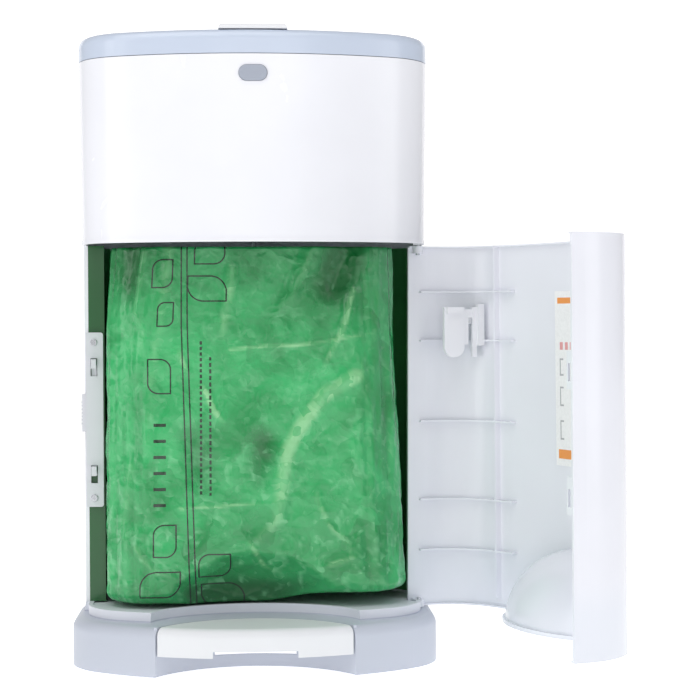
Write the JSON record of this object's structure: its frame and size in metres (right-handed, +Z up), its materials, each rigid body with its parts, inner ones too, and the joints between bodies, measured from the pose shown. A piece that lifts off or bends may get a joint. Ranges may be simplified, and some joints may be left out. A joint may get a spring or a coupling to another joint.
{
  "type": "nappy disposal bin",
  "caption": "Oval pedal nappy bin with flip-up lid, swing-open front door, film cutter and green liner bag hanging inside.",
  "frame": {"origin": "on the floor under the middle of the bin's oval plan", "axes": "+Z up, -Y to the front (the door's side), +X to the right as seen from the front"},
  "size_m": [0.4861, 0.4297, 0.5948],
  "materials": {
    "housing_white": "gloss white",
    "collar_grey": "gloss light blue-grey",
    "base_grey": "satin grey-blue",
    "pedal_white": "satin off-white",
    "latch_grey": "satin light grey",
    "button_grey": "satin mid grey",
    "lining_green": "dark green, satin",
    "liner_green": "glossy green film",
    "steel": "bright steel",
    "rubber_black": "matt black",
    "cassette_film": "packed green film in a shell",
    "flap_blue": "satin grey",
    "label_card": "printed card"
  },
  "bodies": {
    "stand": {"base": "base_grey", "foot_pad_front_left": "rubber_black", "foot_pad_front_right": "rubber_black", "foot_pad_rear_left": "rubber_black", "foot_pad_rear_right": "rubber_black", "body_shell": "housing_white", "inner_lining": "lining_green", "door_pin_lower": "steel", "door_pin_upper": "steel", "latch_plate": "latch_grey", "latch_screw_upper": "steel", "latch_screw_lower": "steel", "upper_housing": "housing_white", "button_spring": "steel", "film_cassette": "cassette_film", "trap_pin_left": "steel", "trap_pin_right": "steel", "pedal_pin": "steel", "collar_hinge_pin": "steel", "liner_bag": "liner_green"},
    "door": {"door_shell": "housing_white", "door_cutter": "latch_grey", "cutter_mount": "housing_white", "cutter_blade": "steel", "door_label": "label_card"},
    "slider": {"latch_slider": "latch_grey"},
    "button": {"front_button": "button_grey"},
    "collar": {"top_collar": "collar_grey", "chute_funnel": "housing_white", "lid_pin_left": "steel", "lid_pin_right": "steel"},
    "lid": {"lid_flap": "housing_white", "lid_tab": "housing_white"},
    "pedal": {"pedal": "pedal_white"},
    "rod": {"lift_rod": "steel"},
    "flap_left": {"trap_flap_left": "flap_blue"},
    "flap_right": {"trap_flap_right": "flap_blue"}
  },
  "joints": [
    {"name": "door_hinge", "type": "hinge", "parent": "stand", "child": "door", "pos_m": [0.158, -0.006, 0.22], "axis": [0, 0, 1], "range_deg": [-107.6, 0]},
    {"name": "latch_slide", "type": "slide", "parent": "stand", "child": "slider", "axis": [0, 0, 1], "range_m": [-0.0065, 0]},
    {"name": "button_press", "type": "slide", "parent": "stand", "child": "button", "axis": [0, 1, 0], "range_m": [0, 0.004], "stiffness_N_per_m": 400, "springref_m": -0.0005, "deforming": ["button_spring"]},
    {"name": "collar_hinge", "type": "hinge", "parent": "stand", "child": "collar", "pos_m": [0, 0.106, 0.568], "axis": [-1, 0, 0], "range_deg": [0, 95]},
    {"name": "pedal_hinge", "type": "hinge", "parent": "stand", "child": "pedal", "pos_m": [0, -0.005, 0.026], "axis": [1, 0, 0], "range_deg": [0, 8], "stiffness_Nm_per_rad": 6, "springref_deg": -11.46},
    {"name": "rod_lift", "type": "slide", "parent": "stand", "child": "rod", "axis": [0, 0, 1], "range_m": [0, 0.01165]},
    {"name": "lid_hinge", "type": "hinge", "parent": "collar", "child": "lid", "pos_m": [0, 0.086, 0.587], "axis": [-1, 0, 0], "range_deg": [0, 70.5]},
    {"name": "trap_left_hinge", "type": "hinge", "parent": "stand", "child": "flap_left", "pos_m": [-0.059, -0.012, 0.48], "axis": [0, 1, 0], "range_deg": [0, 75], "stiffness_Nm_per_rad": 0.05, "springref_deg": -22.92},
    {"name": "trap_right_hinge", "type": "hinge", "parent": "stand", "child": "flap_right", "pos_m": [0.059, -0.012, 0.48], "axis": [0, -1, 0], "range_deg": [0, 75], "stiffness_Nm_per_rad": 0.05, "springref_deg": -22.92}
  ],
  "couplings": [
    {"joint": "rod_lift", "follows": "pedal_hinge", "m_per_rad": 0.082},
    {"joint": "lid_hinge", "follows": "pedal_hinge", "ratio": 8.75}
  ]
}
